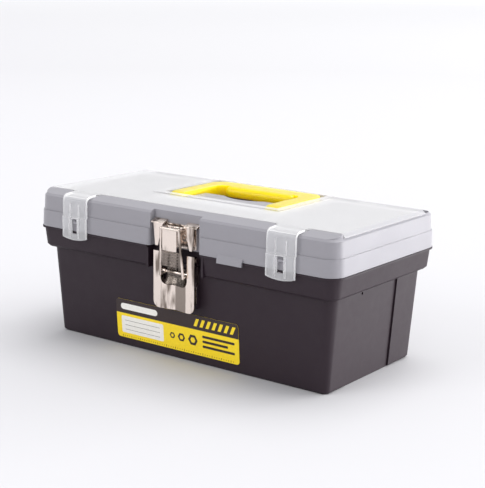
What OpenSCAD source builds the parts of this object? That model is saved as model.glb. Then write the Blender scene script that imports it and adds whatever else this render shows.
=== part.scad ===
/* [Overall] */
// Length of the lid at its lower edge
box_len = 320; // [300:1:380]
// Width of the lid at its lower edge, front to back
box_wid = 162; // [158:1:200]
// Height of the bin, from its foot to the top of its flange
bin_h = 99; // [94:1:125]
// Height of the lid's sides, from its lower edge to its deck
lid_h = 29.5; // [28:0.5:36]
// Wall thickness of the bin and the lid
wall = 2.2; // [1.8:0.1:2.6]

/* [Bin] */
// Height of the stepped rim band, flange included
rim_h = 19; // [17:0.5:24]
// How far the wall's top lies inside the lid's outline
wall_top_in = 8.5; // [8:0.1:10]
// How far the wall's foot lies inside the lid's outline
wall_foot_in = 14.5; // [12:0.1:18]
// How far the rim band lies inside the lid's outline at its top
rim_top_in = 1.5; // [1.2:0.1:2]
// How far the rim band lies inside the lid's outline at its foot
rim_foot_in = 3.6; // [3:0.1:4]
// Thickness of the thin flange under the lid
flange_t = 1.4; // [1:0.1:2]
// How far the flange stands out past the lid
flange_out = 0.5; // [0.2:0.1:1]
// Thickness of the bin's floor
floor_t = 2.6; // [2:0.1:4]
// Corner radius of the bin's wall at its foot
bin_corner_r = 6; // [5:0.5:9]
// Bevel along the foot and under the rim band
bin_bevel = 2; // [1:0.1:2.6]
// Height of the locating tongue above the flange
tongue_h = 2.4; // [1.5:0.1:3]
// Width of the recessed panel on each end
end_panel_w = 69; // [50:1:90]
// Depth of the recessed panel on each end
end_panel_d = 1.5; // [0.8:0.1:1.6]
// Distance of the end panel's middle from the bin's middle, towards the front
end_panel_off = 5.5; // [0:0.5:8]
// Bore of the small air hole high on each end
air_hole_d = 2.4; // [2:0.1:4]
// Distance of the air hole in front of the bin's middle
air_hole_y = 24; // [10:1:30]
// Distance of the air hole below the rim band
air_hole_drop = 4; // [3:0.5:10]

/* [Lid] */
// Height of the thicker band along the lid's lower edge
band_h = 14.5; // [10:0.5:18]
// Step between the lower and the upper band
band_step = 0.9; // [0.5:0.1:1.5]
// Draft of each band, at its top
band_draft = 0.6; // [0.3:0.1:1]
// Bevel along the lid's upper edge
lid_bevel = 1.8; // [1:0.1:2.5]
// Corner radius of the lid
lid_corner_r = 14; // [10:0.5:20]
// Depth of the sloping front shoulder, from the lid's outline to the cover
shoulder_d = 14.7; // [13:0.1:16]
// Rise of the front shoulder above the deck
shoulder_rise = 3.2; // [2:0.1:3.4]
// Depth of the organiser wells below the deck
well_depth = 22; // [14:0.5:22]
// Thickness of the ribs between the wells
rib_t = 1.8; // [1.2:0.1:3]
// Width of the latch recess in the lid's front
recess_w = 52; // [50:0.5:56]
// Depth of the latch recess behind the lid's outline
recess_d = 7; // [6:0.1:8]
// Width of the thumb lip on the lid's lower edge
thumb_w = 25; // [15:1:40]
// Distance of the thumb lip's middle to the right of the latch
thumb_x = 60; // [50:1:70]

/* [Organiser cover] */
// Height of the cover from its lower edge to its flat top
cover_h = 3.4; // [3:0.1:5]
// Thickness of the cover's top
cover_t = 2; // [1.4:0.1:2.4]
// Bevel along the cover's ends and back
cover_bevel = 3; // [2:0.1:4]
// Width of the raised border round the handle opening
border_w = 8; // [5:0.5:9]
// Height of the raised border
border_h = 0.7; // [0.4:0.1:1]
// Distance of each clip from the middle of the box
clip_x = 110.5; // [100:0.5:120]
// Width of a clip
clip_w = 27.5; // [20:0.5:32]
// Thickness of a clip
clip_t = 2; // [1.6:0.1:2.2]
// How far a clip hangs below the lid's lower edge
clip_hang = 7.2; // [4:0.1:10]
// Width of the window in a clip
window_w = 7; // [5:0.5:9]
// Height of the window in a clip
window_h = 13.5; // [12:0.5:14]

/* [Carry handle] */
// Width over both arms of the handle
handle_span = 118; // [100:1:122]
// Distance from the pivot to the back of the grip
handle_reach = 65.5; // [60:0.5:68]
// Width of an arm
arm_w = 14; // [10:0.5:18]
// Width of the grip, front to back
grip_w = 15; // [12:0.5:20]
// Thickness of the arms and the grip
handle_t = 10.5; // [9:0.1:11]
// Radius of the rounded arm ends
arm_end_r = 8.2; // [7.5:0.1:8.8]
// Diameter of the pivot pins
handle_pin_d = 5; // [4:0.1:6]
// Distance of the pivot in front of the box's middle
handle_pivot_y = 8.5; // [4:0.5:10]
// Distance from the pivot to the back of the platform between the arms
platform_len = 25; // [18:0.5:28]
// Width of the finger hollow in the platform's back edge
finger_w = 44; // [30:1:60]
// Depth of the finger hollow in the platform's back edge
finger_d = 7; // [4:0.5:9]
// Depth of the ledge that the folded grip rests on
rest_d = 4; // [3:0.5:6]
// Length of the straight grip between its rounded ends
grip_len = 66; // [40:1:70]

/* [Tool tray] */
// Depth of the tray below its flange
tray_depth = 31; // [20:1:44]
// Wall thickness of the tray
tray_wall = 1.8; // [1.4:0.1:2.4]
// Thickness of the tray's flange
tray_flange_t = 2; // [1.5:0.1:2.5]
// Clearance between the tray and the bin's end walls
tray_gap = 0.8; // [0.6:0.1:1.5]
// Length of the tray's hand slot
slot_len = 84; // [70:1:110]
// Height of the tray's hand slot
slot_h = 17; // [12:0.5:20]

/* [Latch] */
// Width of the lever
lever_w = 44; // [42:0.5:46]
// Length of the lever below its pivot
lever_len = 45.5; // [36:0.5:48]
// Height of the lever above its pivot
lever_top = 3.5; // [3:0.1:3.6]
// Thickness of the sheet metal
sheet_t = 1.2; // [0.9:0.1:1.3]
// Distance between the bail's rails at its top
bail_top_w = 18.8; // [16:0.2:20]
// Distance between the bail's rails at its foot
bail_w = 24.4; // [20:0.2:25]
// Thickness of the bail's rails
rail_d = 2.4; // [2:0.1:2.6]
// Height of the bail's plain tongue
tongue_plate_h = 18.5; // [14:0.5:19]
// Height of the bail's ribbed plate
ribbed_h = 12.6; // [9:0.3:13]
// Distance of the bail pin below the lever's pivot
bail_drop = 13.5; // [11:0.5:15]
// Depth of the lever's window below the bail pin
window_drop = 11; // [10:0.5:13]
// Width of the folded hollow down the lever's middle
fold_w = 26; // [20:1:30]
// Depth of the folded hollow down the lever's middle
fold_d = 2.4; // [1.5:0.1:2.6]
// Length of the lever's side flanges below the pivot
flange_len = 23; // [18:0.5:26]
// Diameter of the lever's pivots and the bail's pin
latch_pin_d = 2.6; // [2.2:0.1:2.8]
// Width of the keeper's lip
keeper_lip_w = 49; // [46:0.2:50.8]
// Width of the keeper's back plate
keeper_w = 40; // [36:0.5:44]
// Rise of the keeper's lips from their front edges to their roots
lip_rise = 2.4; // [1:0.1:3]
// Width of a keeper wing at its foot
wing_foot_w = 3; // [2:0.5:5]
// Distance of the rivets from the latch's middle
rivet_x = 8; // [7.5:0.5:8.5]
// Shank diameter of the rivets
rivet_d = 3.2; // [2.4:0.1:3.6]

/* [Hinges] */
// Distance of each lid hinge from the middle of the box
hinge_x = 95; // [80:1:120]
// Length of a lid hinge
hinge_len = 38; // [30:1:50]
// Radius of the lid hinge's knuckles
knuckle_r = 3.5; // [3:0.1:4]
// Diameter of the lid hinge's pins
hinge_pin_d = 3; // [2.5:0.1:3.5]
// Distance of each cover hinge from the middle of the box
cover_hinge_x = 100; // [85:1:125]
// Length of a cover hinge
cover_hinge_len = 28; // [22:1:40]
// Radius of the cover hinge's knuckles
cover_knuckle_r = 2.6; // [2.2:0.1:2.8]
// Diameter of the cover hinge's pins
cover_pin_d = 2.4; // [2:0.1:2.6]

/* [Label] */
// Width of the label
label_w = 135; // [80:1:180]
// Height of the label along the wall
label_h = 35.5; // [20:0.5:36]
// Thickness of the label
label_t = 0.3; // [0.2:0.05:0.5]
// Height of the label's lower edge along the wall
label_z = 8; // [5:0.5:9]
// Distance of the label's middle to the left of the latch
label_off = 7; // [0:1:20]

/* [Clearances] */
// Gap between pieces that seat on each other
seat_gap = 0.3; // [0.2:0.05:0.4]
// Gap between pieces that move past each other
run_gap = 0.5; // [0.4:0.05:0.6]
// Radial clearance of a pin held in its own part
pin_hold = 0.02; // [0.01:0.01:0.03]
// Radial clearance of a pin in the part that turns on it
pin_run = 0.08; // [0.05:0.01:0.1]
// Room round the folded handle in its pocket
handle_room = 1.6; // [1.2:0.1:2]

/* [Hidden] */
$fn = 72;
over = 1;
hl = box_len / 2;
hw = box_wid / 2;

// Levels of the bin
z_step = bin_h - rim_h;
z_ledge = z_step + wall;
z_under_flange = bin_h - flange_t;

// Levels of the lid and the cover
z_lid = bin_h + seat_gap;
z_band = z_lid + band_h;
z_deck = z_lid + lid_h;
z_well = z_deck - well_depth;
z_ceiling = z_well - wall;
z_shoulder = z_deck + shoulder_rise;
z_cover = z_deck + seat_gap + cover_h;
upper_in = band_draft + band_step;
deck_in = upper_in + band_draft + lid_bevel;
shoulder_y = shoulder_d - hw;

// Handle pocket in the lid, and the cover round it
pivot_y = -handle_pivot_y;
handle_z = z_cover + border_h - seat_gap;
pivot_z = handle_z - arm_end_r;
pocket_x = handle_span / 2 + handle_room;
pocket_front = pivot_y - arm_end_r - handle_room;
pocket_back = pivot_y + handle_reach + handle_room;
platform_x = handle_span / 2 - arm_w - handle_room;
platform_back = pivot_y + platform_len;
z_pocket = z_ceiling + wall;
cover_front = shoulder_y + run_gap;
opening_wall = 2;
cover_back = pocket_back + opening_wall + run_gap + cover_bevel;

// Hinge axes
hinge_y = hw + flange_out + knuckle_r + run_gap;
hinge_z = bin_h - run_gap;
cover_hinge_y = cover_back + cover_knuckle_r + run_gap;
cover_hinge_z = z_deck - run_gap;
trough_z = cover_hinge_z - cover_knuckle_r - run_gap;

// Latch planes, measured from the middle of the box towards the back
pad_y = -(hw - wall_top_in) - 0.7;
latch_well_y = pad_y + 1.6;
recess_y = recess_d - hw;
lever_y = 0.8 - hw;
lever_pin_y = lever_y + 3.4;
lever_pin_z = bin_h - 6.5;
bail_pin_y = lever_pin_y + 0.2;
bail_pin_z = lever_pin_z - bail_drop;
bail_y = lever_y - 6;
bail_top = z_lid + 18.2;
lip_z = bail_top + 1.8;
latch_pocket_w = lever_w + 13;
base_w = lever_w - 4.8;
lever_window_w = bail_w + rail_d + 1.6;
lever_bottom = lever_pin_z - lever_len;
base_rivet_z = lever_bottom + 13;
rivet_head_r = rivet_d / 2 + 1.5;

// Distance of the bin's wall inside the lid's outline, and its corner radius, at a height
function wall_in(z) = wall_foot_in - (wall_foot_in - wall_top_in) * z / z_step;
function wall_r(z) = bin_corner_r + wall_foot_in - wall_in(z);
function rim_in(z) = rim_foot_in - (rim_foot_in - rim_top_in) * (z - z_step) / (z_under_flange - z_step);
function outline_r(inset) = lid_corner_r - inset;
function arc(cx, cy, r, from, to, steps = 8) =
    [for (i = [0 : steps]) let(a = from + (to - from) * i / steps) [cx + r * cos(a), cy + r * sin(a)]];

// Flat rounded rectangle
module plate(l, w, r, h) {
    linear_extrude(h) {
        square([l - 2 * r, w], center = true);
        square([l, w - 2 * r], center = true);
        for (x = [r - l / 2, l / 2 - r], y = [r - w / 2, w / 2 - r]) translate([x, y]) circle(r);
    }
}

// Rounded block with evenly leaning sides; each inset is measured from the lid's outline
module drafted(z0, z1, in0, in1, r0) {
    l0 = box_len - 2 * in0;
    w0 = box_wid - 2 * in0;
    grow = in0 - in1;
    h = z1 - z0;
    translate([0, 0, z0]) {
        for (x = [r0 - l0 / 2, l0 / 2 - r0], y = [r0 - w0 / 2, w0 / 2 - r0])
            translate([x, y, 0]) cylinder(h = h, r1 = r0, r2 = r0 + grow);
        along_x(l0 - 2 * r0)
            polygon([[-w0 / 2, 0], [w0 / 2, 0], [w0 / 2 + grow, h], [-w0 / 2 - grow, h]]);
        along_y(w0 - 2 * r0)
            polygon([[-l0 / 2, 0], [l0 / 2, 0], [l0 / 2 + grow, h], [-l0 / 2 - grow, h]]);
    }
}

// Extrusions of an outline drawn in Y and Z, or in X and Z, centred on the origin
module along_x(len) { rotate([90, 0, 90]) translate([0, 0, -len / 2]) linear_extrude(len) children(); }
module along_y(len) { rotate([90, 0, 0]) translate([0, 0, -len / 2]) linear_extrude(len) children(); }
module pin_x(d, len) { rotate([0, 90, 0]) cylinder(h = len, d = d, center = true); }
module pin_y(d, len) { rotate([90, 0, 0]) cylinder(h = len, d = d, center = true); }

// Box given by its lowest and highest corners
module box(low, high) { translate(low) cube(high - low); }

module bin() color("#3a3437") difference() {
    union() {
        difference() {
            bin_outer();
            bin_hollow();
        }
        tongue();
        latch_block();
        for (side = [-1, 1]) {
            translate([side * hinge_x, 0, 0]) bin_knuckles();
            end_backing(side);
        }
    }
    latch_pocket();
    for (side = [-1, 1]) {
        end_panel(side);
        translate([side * hl, -air_hole_y, z_step - air_hole_drop]) pin_x(air_hole_d, 4 * wall_foot_in);
        translate([side * hinge_x, hinge_y, hinge_z]) pin_x(hinge_pin_d + 2 * pin_hold, hinge_len + over);
        translate([side * rivet_x, pad_y, base_rivet_z]) pin_y(rivet_d + 2 * pin_hold, 6 * wall);
    }
}

module bin_outer() {
    drafted(0, bin_bevel, wall_in(0) + bin_bevel, wall_in(bin_bevel), wall_r(0) - bin_bevel);
    drafted(bin_bevel, z_ledge, wall_in(bin_bevel), wall_in(z_ledge), wall_r(bin_bevel));
    rim_bevel_in = rim_in(z_step + bin_bevel);
    drafted(z_step, z_step + bin_bevel, rim_foot_in + bin_bevel, rim_bevel_in, outline_r(rim_foot_in + bin_bevel));
    drafted(z_step + bin_bevel, z_under_flange, rim_bevel_in, rim_top_in, outline_r(rim_bevel_in));
    translate([0, 0, z_under_flange])
        plate(box_len + 2 * flange_out, box_wid + 2 * flange_out, lid_corner_r + flange_out, flange_t);
}

module bin_hollow() {
    drafted(floor_t, z_ledge, wall_in(floor_t) + wall, wall_in(z_ledge) + wall, wall_r(floor_t) - wall);
    drafted(z_ledge, bin_h + over, rim_in(z_ledge) + wall, rim_in(bin_h + over) + wall,
            outline_r(rim_in(z_ledge) + wall));
}

// Upright ring that keeps the closed lid in place, open at the latch
module tongue() {
    out = wall + run_gap;
    thick = 1.6;
    translate([0, 0, z_under_flange]) difference() {
        plate(box_len - 2 * out, box_wid - 2 * out, outline_r(out), flange_t + tongue_h);
        translate([0, 0, -over])
            plate(box_len - 2 * out - 2 * thick, box_wid - 2 * out - 2 * thick, outline_r(out + thick),
                  flange_t + tongue_h + 2 * over);
        box([-recess_w / 2 - wall - run_gap, -hw, -over],
            [recess_w / 2 + wall + run_gap, 0, flange_t + tongue_h + over]);
    }
}

// Thick part of the front behind the latch, and the pad that carries the latch's base
module latch_block() {
    half = latch_pocket_w / 2 + wall;
    box([-half, -(hw - rim_in(z_under_flange)), z_ledge - wall], [half, latch_well_y + wall, bin_h]);
    z_pad = lever_bottom + 3;
    along_x(base_w) polygon([[pad_y, z_pad], [pad_y, z_ledge], [wall_in(z_ledge) + wall / 2 - hw, z_ledge],
        [wall_in(z_pad) + wall / 2 - hw, z_pad]]);
}

module latch_pocket() {
    half = latch_pocket_w / 2;
    box([-half, -hw - 2 * over, z_step - over], [half, pad_y, bin_h + over]);
    box([-half, -hw, lever_pin_z - 6], [half, latch_well_y, bin_h + over]);
}

// Shallow panel sunk in one end, from the foot up to the rim band
module end_panel(side) {
    translate([0, -end_panel_off, 0]) along_y(end_panel_w) polygon([
        [side * (hl - wall_in(0) - end_panel_d), -over], [side * hl, -over],
        [side * hl, z_step - over], [side * (hl - wall_in(z_step) - end_panel_d), z_step - over]]);
}

// Thicker wall behind the sunk panel
module end_backing(side) {
    outer = wall / 2;
    inner = wall + end_panel_d;
    translate([0, -end_panel_off, 0]) along_y(end_panel_w + 4 * wall) polygon([
        [side * (hl - wall_in(floor_t) - outer), floor_t / 2], [side * (hl - wall_in(z_ledge) - outer), z_ledge],
        [side * (hl - wall_in(z_ledge) - inner), z_ledge], [side * (hl - wall_in(floor_t) - inner), floor_t / 2]]);
}

module bin_knuckles() {
    tab = hinge_len / 4;
    root_y = hw - rim_foot_in - wall / 2;
    for (side = [-1, 1]) translate([side * (hinge_len - tab) / 2, 0, 0]) {
        translate([0, hinge_y, hinge_z]) pin_x(2 * knuckle_r, tab);
        along_x(tab) polygon([[root_y, z_step + wall + bin_bevel], [root_y, z_under_flange],
            [hinge_y, hinge_z], [hinge_y + knuckle_r / 2, hinge_z - knuckle_r * 0.87]]);
    }
}

// Sticker on the sloping front wall
module front_label() color("#efcf20")
    translate([-label_off, wall_foot_in - hw, 0]) rotate([atan((wall_foot_in - wall_top_in) / z_step), 0, 0])
        translate([0, 0, label_z + label_h / 2]) rotate([90, 0, 0]) plate(label_w, label_h, 3, label_t);

module lid() color("#9d9aa3") difference() {
    union() {
        difference() {
            lid_outer();
            lid_hollow();
            organiser_wells();
            handle_pocket();
            latch_recess();
            box([5 - hl, cover_back + run_gap, trough_z], [hl - 5, hw - deck_in - wall, z_deck + over]);
            for (side = [-1, 1]) translate([side * clip_x, 0, 0]) clip_channel();
        }
        for (side = [-1, 1]) {
            translate([side * hinge_x, 0, 0]) lid_knuckle();
            translate([side * cover_hinge_x, 0, 0]) cover_ears();
            translate([side * clip_x, 0, 0]) clip_nub();
        }
        thumb_lip();
    }
    for (side = [-1, 1]) {
        translate([side * hinge_x, hinge_y, hinge_z]) pin_x(hinge_pin_d + 2 * pin_run, hinge_len);
        translate([side * cover_hinge_x, cover_hinge_y, cover_hinge_z])
            pin_x(cover_pin_d + 2 * pin_hold, cover_hinge_len + over);
        translate([side * pocket_x, pivot_y, pivot_z]) pin_x(handle_pin_d + 2 * pin_hold, 2 * wall);
        translate([side * rivet_x, recess_y, keeper_rivet_z]) pin_y(rivet_d + 2 * pin_hold, 4 * wall);
    }
}

module lid_outer() {
    z_edge = z_deck - lid_bevel;
    drafted(z_lid, z_band, 0, band_draft, lid_corner_r);
    drafted(z_band, z_edge, upper_in, upper_in + band_draft, outline_r(upper_in));
    drafted(z_edge, z_deck, upper_in + band_draft, deck_in, outline_r(upper_in + band_draft));
    intersection() {
        along_x(box_len) polygon([[deck_in - hw, z_deck - over], [deck_in - hw, z_deck],
            [shoulder_y, z_shoulder], [shoulder_y, z_deck - over]]);
        translate([0, 0, z_deck - over])
            plate(box_len - 2 * deck_in, box_wid - 2 * deck_in, outline_r(deck_in), shoulder_rise + 2 * over);
    }
}

// Open underside: a shallow tray under the wells, and deeper hollows under the front, the platform and the back
module lid_hollow() {
    half = recess_w / 2 + wall;
    inner = upper_in + band_draft + wall;
    difference() {
        union() {
            drafted(z_lid - over, z_ceiling, wall, wall + 0.2, outline_r(wall));
            box([inner - hl + lid_corner_r, inner - hw, z_ceiling - over],
                [hl - inner - lid_corner_r, shoulder_y - wall, z_deck - lid_bevel - wall]);
            box([wall - platform_x, pocket_front, z_ceiling - over],
                [platform_x - wall, platform_back - finger_d - wall, z_deck - wall]);
            box([inner - hl + lid_corner_r, cover_back - wall, z_ceiling - over],
                [hl - inner - lid_corner_r, hw - inner, trough_z - wall]);
        }
        box([-half, -hw, z_lid - 2 * over], [half, recess_y + wall, z_deck]);
    }
}

// Wells in rows of three beside the handle, and one long well in front of it
module organiser_wells() {
    x0 = pocket_x + border_w;
    x1 = hl - deck_in - wall;
    y0 = cover_front + wall;
    y1 = pocket_back;
    pitch = (y1 - y0 + rib_t) / 3;
    for (side = [-1, 1], row = [0 : 2])
        well(side * (x0 + x1) / 2, y0 + pitch * (row + 0.5) - rib_t / 2, x1 - x0, pitch - rib_t);
    front_d = pocket_front - wall - border_w - y0;
    well(0, y0 + front_d / 2, 2 * x0 - 2 * rib_t, front_d);
}

module well(x, y, l, w) { translate([x, y, z_well]) plate(l, w, 3, well_depth + over); }

// Pocket for the folded handle: channels for the arms beside a platform, and a rest for the grip at the back
module handle_pocket() difference() {
    box([-pocket_x, pocket_front, z_pocket], [pocket_x, pocket_back, z_deck + over]);
    translate([0, 0, z_pocket - over]) linear_extrude(z_deck - z_pocket + 3 * over) platform_plan();
    box([-platform_x, pocket_back - rest_d, z_pocket - over],
        [platform_x, pocket_back + over, handle_z - handle_t - seat_gap]);
}

// Platform between the arms from above, with the hollow for the fingers in its back edge
module platform_plan() difference() {
    r = (finger_w * finger_w / 4 + finger_d * finger_d) / (2 * finger_d);
    translate([-platform_x, pocket_front - over]) square([2 * platform_x, platform_back - pocket_front + over]);
    translate([0, platform_back - finger_d + r]) circle(r);
}

// Recess behind the latch, with round upright edges where it opens
module latch_recess() {
    r = 3.5;
    half = recess_w / 2;
    translate([0, 0, z_lid - over]) linear_extrude(lid_h + shoulder_rise + 2 * over) {
        translate([-half, -hw - over]) square([2 * half, recess_d + over]);
        for (side = [-1, 1]) difference() {
            translate([side * half - r / 2 + side * r / 2, -hw - over]) square([r, r + over]);
            translate([side * (half + r), r - hw]) circle(r);
        }
    }
}

// Gap in the shoulder for a clip's arm
module clip_channel() {
    translate([0, 0, z_deck]) linear_extrude(shoulder_rise + over) clip_plan(run_gap);
}

// Outline of a clip's arm from above, with round roots where it meets the cover
module clip_plan(room = 0) {
    root_r = 5;
    half = clip_w / 2 + room;
    front = -hw - 6 * clip_t;
    translate([-half, front]) square([2 * half, cover_front + over - front]);
    for (side = [-1, 1]) difference() {
        translate([side * (half + root_r / 2), cover_front - root_r / 2 + over / 2])
            square([root_r + 2 * room, root_r + over], center = true);
        translate([side * (half + root_r + room), cover_front - root_r]) circle(root_r - room);
    }
}

module clip_nub() {
    width = window_w - 1.6;
    along_x(width) polygon([[-hw + wall, z_band - 4.5], [-hw - 1.9, z_band - 5.5],
        [-hw - 1.9, z_band - 7.5], [-hw + wall, z_band - 9.5]]);
}

module thumb_lip() {
    gap_y = -hw - flange_out - run_gap;
    translate([thumb_x, 0, 0]) along_x(thumb_w) polygon([[wall / 2 - hw, z_lid + 4.5], [gap_y - 1.2, z_lid + 0.5],
        [gap_y - 1.6, z_lid - 3.4], [gap_y, z_lid - 3.4], [gap_y, z_lid], [wall / 2 - hw, z_lid]]);
}

module lid_knuckle() {
    len = hinge_len / 2 - 2 * run_gap;
    root_y = hw - wall / 2;
    translate([0, hinge_y, hinge_z]) pin_x(2 * knuckle_r, len);
    along_x(len) polygon([[root_y, z_lid + 0.6], [root_y, z_lid + 11], [hinge_y + knuckle_r / 2,
        hinge_z + knuckle_r * 0.87], [hinge_y, hinge_z], [hw + flange_out + run_gap, z_lid + 0.6]]);
}

module cover_ears() {
    tab = cover_hinge_len / 5;
    for (side = [-1, 1]) translate([side * (cover_hinge_len - tab) / 2, cover_hinge_y, cover_hinge_z]) {
        pin_x(2 * cover_knuckle_r, tab);
        box([-tab / 2, -cover_knuckle_r, trough_z - cover_hinge_z - over], [tab / 2, cover_knuckle_r, 0]);
    }
}

module organiser_cover() color([0.88, 0.89, 0.92, 0.55]) difference() {
    union() {
        difference() {
            cover_outer();
            cover_hollow();
        }
        for (side = [-1, 1]) {
            translate([side * clip_x, 0, 0]) clip();
            translate([side * cover_hinge_x, 0, 0]) cover_knuckle();
        }
    }
    gap = run_gap;
    box([-pocket_x - gap, pocket_front - gap, z_deck - over], [pocket_x + gap, pocket_back + gap, z_cover + 2 * over]);
    for (side = [-1, 1])
        translate([side * cover_hinge_x, cover_hinge_y, cover_hinge_z])
            pin_x(cover_pin_d + 2 * pin_run, cover_hinge_len);
}

module cover_outer() {
    x1 = hl - upper_in - band_draft;
    bottom = z_deck + seat_gap;
    intersection() {
        translate([0, 0, bottom]) {
            bevelled(x1, cover_back);
        }
        box([-hl, cover_front, z_deck], [hl, hw, z_cover + over]);
    }
    border = border_w + pocket_x;
    box([-border, pocket_front - border_w, z_cover - over], [border, pocket_back + opening_wall, z_cover + border_h]);
}

// Flat block whose ends and back are bevelled, from the lid's front back to a given line
module bevelled(x1, back) {
    r = outline_r(deck_in) / 2;
    edge = cover_h - cover_bevel;
    y_mid = (back - hw) / 2;
    depth = back + hw;
    translate([0, y_mid, 0]) {
        plate(2 * x1, depth, r, edge);
        translate([0, 0, edge]) cone_plate(2 * x1, depth, r, cover_bevel);
    }
}

// Rounded block that leans in by its own height
module cone_plate(l, w, r, h) {
    for (x = [r - l / 2, l / 2 - r], y = [r - w / 2, w / 2 - r])
        translate([x, y, 0]) cylinder(h = h, r1 = r, r2 = r - h);
    along_x(l - 2 * r) polygon([[-w / 2, 0], [w / 2, 0], [w / 2 - h, h], [h - w / 2, h]]);
    along_y(w - 2 * r) polygon([[-l / 2, 0], [l / 2, 0], [l / 2 - h, h], [h - l / 2, h]]);
}

// Space under the cover's top, with a wall left round the handle opening
module cover_hollow() {
    edge = cover_bevel + opening_wall;
    x1 = hl - upper_in - band_draft - edge;
    top = z_cover - cover_t;
    room = opening_wall + run_gap;
    difference() {
        box([-x1, cover_front + opening_wall, z_deck], [x1, cover_back - edge, top]);
        box([-pocket_x - room, pocket_front - room, z_deck - over],
            [pocket_x + room, pocket_back + room, top + over]);
    }
}

// Arm over the shoulder and tongue down the lid's front, with a window and two ribs
module clip() {
    front = -hw - run_gap - clip_t;
    bend = 6;
    z_top = z_cover - 0.6;
    z_end = z_lid - clip_hang;
    jog = 1;
    difference() {
        intersection() {
            along_x(clip_w) polygon(concat(
                [[cover_front + opening_wall, z_cover], [front + bend, z_top]],
                arc(front + bend, z_top - bend, bend, 90, 180),
                [[front, z_band - 1], [front - jog, z_band - 2], [front - jog, z_end],
                 [front - jog + clip_t, z_end], [front - jog + clip_t, z_band - 2], [front + clip_t, z_band - 1]],
                arc(front + bend, z_top - bend, bend - clip_t, 180, 90),
                [[cover_front + opening_wall, z_cover - clip_t]]));
            along_y(2 * box_wid) clip_face(z_end);
        }
        along_y(2 * box_wid) translate([0, z_band - 2.5 - window_h / 2]) square([window_w, window_h], center = true);
        translate([0, 0, z_deck - over]) linear_extrude(seat_gap + over) translate([0, cover_front]) square(clip_w);
    }
    for (side = [-1, 1]) translate([side * (window_w / 2 + 1.6), 0, 0]) {
        along_x(1.4) polygon([[front + 0.2, z_top - bend], [front - 0.7, z_top - bend - 2],
            [front - 0.7, z_band - 1], [front - jog - 0.7, z_band - 2], [front - jog - 0.7, z_end + 2.5],
            [front - jog + 0.2, z_end + 1.5], [front - jog + 0.2, z_band - 2], [front + 0.2, z_band - 1]]);
    }
    clip_roots();
}

// Outline of a clip from the front: straight sides and a bowed lower edge
module clip_face(z_end) {
    bow_r = 50;
    intersection() {
        translate([-clip_w / 2, 0]) square([clip_w, 2 * z_cover]);
        union() {
            translate([0, z_end + bow_r]) circle(bow_r);
            translate([-clip_w / 2, z_lid]) square([clip_w, z_cover]);
        }
    }
}

// Round roots between the arm and the cover's front edge
module clip_roots() {
    translate([0, 0, z_cover - clip_t]) linear_extrude(clip_t - 0.3) intersection() {
        clip_plan();
        translate([-clip_w, cover_front - 5]) square([2 * clip_w, 5 + over]);
    }
}

module cover_knuckle() {
    tab = cover_hinge_len * 3 / 5 - 2 * run_gap;
    translate([0, cover_hinge_y, cover_hinge_z]) pin_x(2 * cover_knuckle_r, tab);
    along_x(tab) polygon([[cover_back - opening_wall - cover_bevel, z_deck + seat_gap],
        [cover_back - opening_wall - cover_bevel, z_cover - 0.8], [cover_hinge_y + 1, cover_hinge_z + cover_knuckle_r * 0.92],
        [cover_hinge_y, cover_hinge_z], [cover_back, z_deck + seat_gap]]);
}

module carry_handle() color("#fadc14") difference() {
    union() {
        translate([0, 0, handle_z - handle_t]) linear_extrude(handle_t) handle_plan();
        for (side = [-1, 1]) translate([side * (handle_span - arm_w) / 2, pivot_y, pivot_z]) {
            pin_x(2 * arm_end_r, arm_w);
        }
        grip_bulge();
    }
    for (side = [-1, 1])
        translate([side * handle_span / 2, pivot_y, pivot_z]) pin_x(handle_pin_d + 2 * pin_run, 2 * (arm_w - 3));
}

// The U of the handle from above, with round corners
module handle_plan() {
    back = pivot_y + handle_reach;
    outer_r = 11;
    inner_r = 9;
    half = handle_span / 2;
    inner = half - arm_w;
    grip_y = back - grip_w;
    difference() {
        union() {
            translate([-half, pivot_y]) square([handle_span, handle_reach - outer_r]);
            translate([outer_r - half, pivot_y]) square([handle_span - 2 * outer_r, handle_reach]);
            for (side = [-1, 1]) translate([side * (half - outer_r), back - outer_r]) circle(outer_r);
        }
        translate([-inner, pivot_y - over]) square([2 * inner, grip_y - inner_r - pivot_y + over]);
        translate([inner_r - inner, pivot_y - over]) square([2 * (inner - inner_r), grip_y - pivot_y + over]);
        for (side = [-1, 1]) translate([side * (inner - inner_r), grip_y - inner_r]) circle(inner_r);
    }
}

// Rounded swelling along the front of the grip
module grip_bulge() {
    bulge_r = handle_t / 2;
    translate([0, pivot_y + handle_reach - grip_w, handle_z - bulge_r]) {
        pin_x(2 * bulge_r, grip_len);
        for (side = [-1, 1]) translate([side * grip_len / 2, 0, 0]) sphere(bulge_r);
    }
}

module handle_pin(side) color("silver") {
    length = arm_w - 3 + handle_room + wall - 2 * run_gap;
    translate([side * (pocket_x + wall - run_gap - length / 2), pivot_y, pivot_z]) pin_x(handle_pin_d, length);
}

module tool_tray() color("#7d7b84") difference() {
    union() {
        difference() {
            tray_outer();
            tray_wells();
        }
        box([-slot_len / 2 - 8, -tray_grip / 2, tray_z], [slot_len / 2 + 8, tray_grip / 2, tray_top]);
    }
    slot_z = tray_top - 5 - slot_h / 2;
    translate([0, 0, slot_z]) rotate([90, 0, 0]) translate([0, 0, -tray_grip])
        plate(slot_len, slot_h, slot_h / 2 - 0.5, 2 * tray_grip);
    half = latch_pocket_w / 2 + wall + run_gap;
    box([-half, -hw, tray_rim - over], [half, latch_well_y + wall + run_gap, tray_top + over]);
}

// Levels of the tray, which hangs by its flange on the ledge inside the rim band
tray_rim = z_ledge + seat_gap;
tray_top = tray_rim + tray_flange_t;
tray_z = tray_rim - tray_depth;
tray_grip = 11;
keeper_rivet_z = z_lid + 10;

function tray_in(z) = wall_in(z) + wall + end_panel_d + tray_gap;
function tray_r(z) = wall_r(z) - wall - end_panel_d - tray_gap;

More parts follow.
